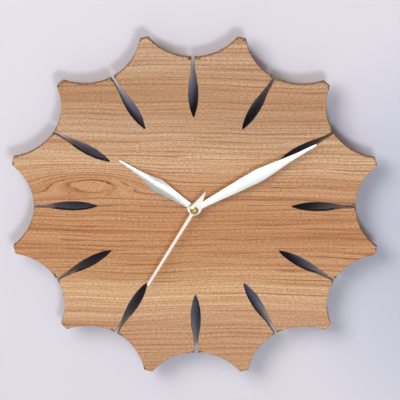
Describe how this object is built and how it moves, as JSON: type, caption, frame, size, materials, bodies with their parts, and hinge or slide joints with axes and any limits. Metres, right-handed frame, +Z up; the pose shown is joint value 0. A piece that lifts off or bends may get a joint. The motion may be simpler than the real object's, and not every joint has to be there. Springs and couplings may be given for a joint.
{
  "type": "wall clock",
  "caption": "Round wooden wall clock with a scalloped, gear-like rim, leaf-shaped hour slots, slim light metal hands and a battery quartz movement.",
  "frame": {"origin": "on the axis of the hanger hole, at the rear face of the movement, which is the wall plane", "axes": "+Z up to twelve o'clock, the dial faces -Y, +X to three o'clock, +Y into the wall"},
  "size_m": [0.2912, 0.0309, 0.2912],
  "materials": {
    "dial_wood": "varnished open-grain veneer board",
    "hand_aluminium": "satin, silver white",
    "second_hand_paint": "satin off-white paint",
    "cap_brass": "polished",
    "collet_brass": "turned",
    "bushing_brass": "turned and threaded",
    "nut_steel": "nickel plated",
    "case_plastic": "moulded black, fine spark texture",
    "bridge_plastic": "moulded natural",
    "gear_plastic": "moulded acetal",
    "gear_plastic_blue": "moulded acetal, tinted",
    "knob_plastic": "moulded black",
    "arbor_steel": "ground",
    "contact_steel": "tin plated strip",
    "stator_iron": "stamped soft iron",
    "magnet_ferrite": "sintered ferrite",
    "winding_copper": "enamelled copper wire",
    "circuit_laminate": "solder-masked laminate",
    "chip_resin": "poured epoxy",
    "crystal_can": "drawn can",
    "battery_jacket": "printed film jacket, plain",
    "washer_rubber": "matt"
  },
  "bodies": {
    "case": {"dial_plate": "dial_wood", "movement_case": "case_plastic", "movement_cover": "case_plastic", "gear_bridge": "bridge_plastic", "battery": "battery_jacket", "positive_contact": "contact_steel", "negative_contact": "contact_steel", "stator": "stator_iron", "coil_core": "stator_iron", "coil_bobbin": "bridge_plastic", "coil_winding": "winding_copper", "circuit_board": "circuit_laminate", "clock_chip": "chip_resin", "quartz_crystal": "crystal_can", "threaded_bushing": "bushing_brass", "rubber_washer": "washer_rubber", "metal_washer": "nut_steel", "fixing_nut": "nut_steel"},
    "seconds_train": {"seconds_wheel": "gear_plastic", "seconds_arbor": "arbor_steel", "second_hand": "second_hand_paint", "second_hand_cap": "cap_brass"},
    "minute_train": {"minute_cannon": "collet_brass", "minute_hand": "hand_aluminium", "minute_hand_collet": "collet_brass"},
    "hour_train": {"hour_wheel": "gear_plastic", "hour_hand": "hand_aluminium", "hour_hand_collet": "collet_brass"},
    "setting_train": {"minute_wheel": "gear_plastic", "set_knob": "knob_plastic"},
    "centre_train": {"centre_wheel": "gear_plastic_blue"},
    "third_train": {"third_wheel": "gear_plastic"},
    "fifth_train": {"fifth_wheel": "gear_plastic_blue"},
    "rotor": {"rotor_pinion": "gear_plastic", "rotor_magnet": "magnet_ferrite"}
  },
  "joints": [
    {"name": "seconds_turn", "type": "hinge", "parent": "case", "child": "seconds_train", "pos_m": [0, 0, -0.0332], "axis": [0, 1, 0], "continuous": true},
    {"name": "minute_turn", "type": "hinge", "parent": "case", "child": "minute_train", "pos_m": [0, 0, -0.0332], "axis": [0, 1, 0], "continuous": true},
    {"name": "hour_turn", "type": "hinge", "parent": "case", "child": "hour_train", "pos_m": [0, 0, -0.0332], "axis": [0, 1, 0], "continuous": true},
    {"name": "setting_turn", "type": "hinge", "parent": "case", "child": "setting_train", "pos_m": [0.00818, 0, -0.03618], "axis": [0, 1, 0], "continuous": true},
    {"name": "centre_turn", "type": "hinge", "parent": "case", "child": "centre_train", "pos_m": [0, 0, -0.0332], "axis": [0, 1, 0], "continuous": true},
    {"name": "third_turn", "type": "hinge", "parent": "case", "child": "third_train", "pos_m": [0, 0, -0.0247], "axis": [0, 1, 0], "continuous": true},
    {"name": "fifth_turn", "type": "hinge", "parent": "case", "child": "fifth_train", "pos_m": [-0.00816, 0, -0.0294], "axis": [0, 1, 0], "continuous": true},
    {"name": "rotor_turn", "type": "hinge", "parent": "case", "child": "rotor", "pos_m": [-0.01166, 0, -0.02333], "axis": [0, 1, 0], "continuous": true}
  ],
  "couplings": [
    {"joint": "hour_turn", "follows": "minute_turn", "ratio": 0.083333},
    {"joint": "setting_turn", "follows": "minute_turn", "ratio": -0.33333},
    {"joint": "centre_turn", "follows": "seconds_turn", "ratio": 0.016667},
    {"joint": "third_turn", "follows": "seconds_turn", "ratio": -0.13333},
    {"joint": "fifth_turn", "follows": "seconds_turn", "ratio": -5},
    {"joint": "rotor_turn", "follows": "seconds_turn", "ratio": 30}
  ]
}
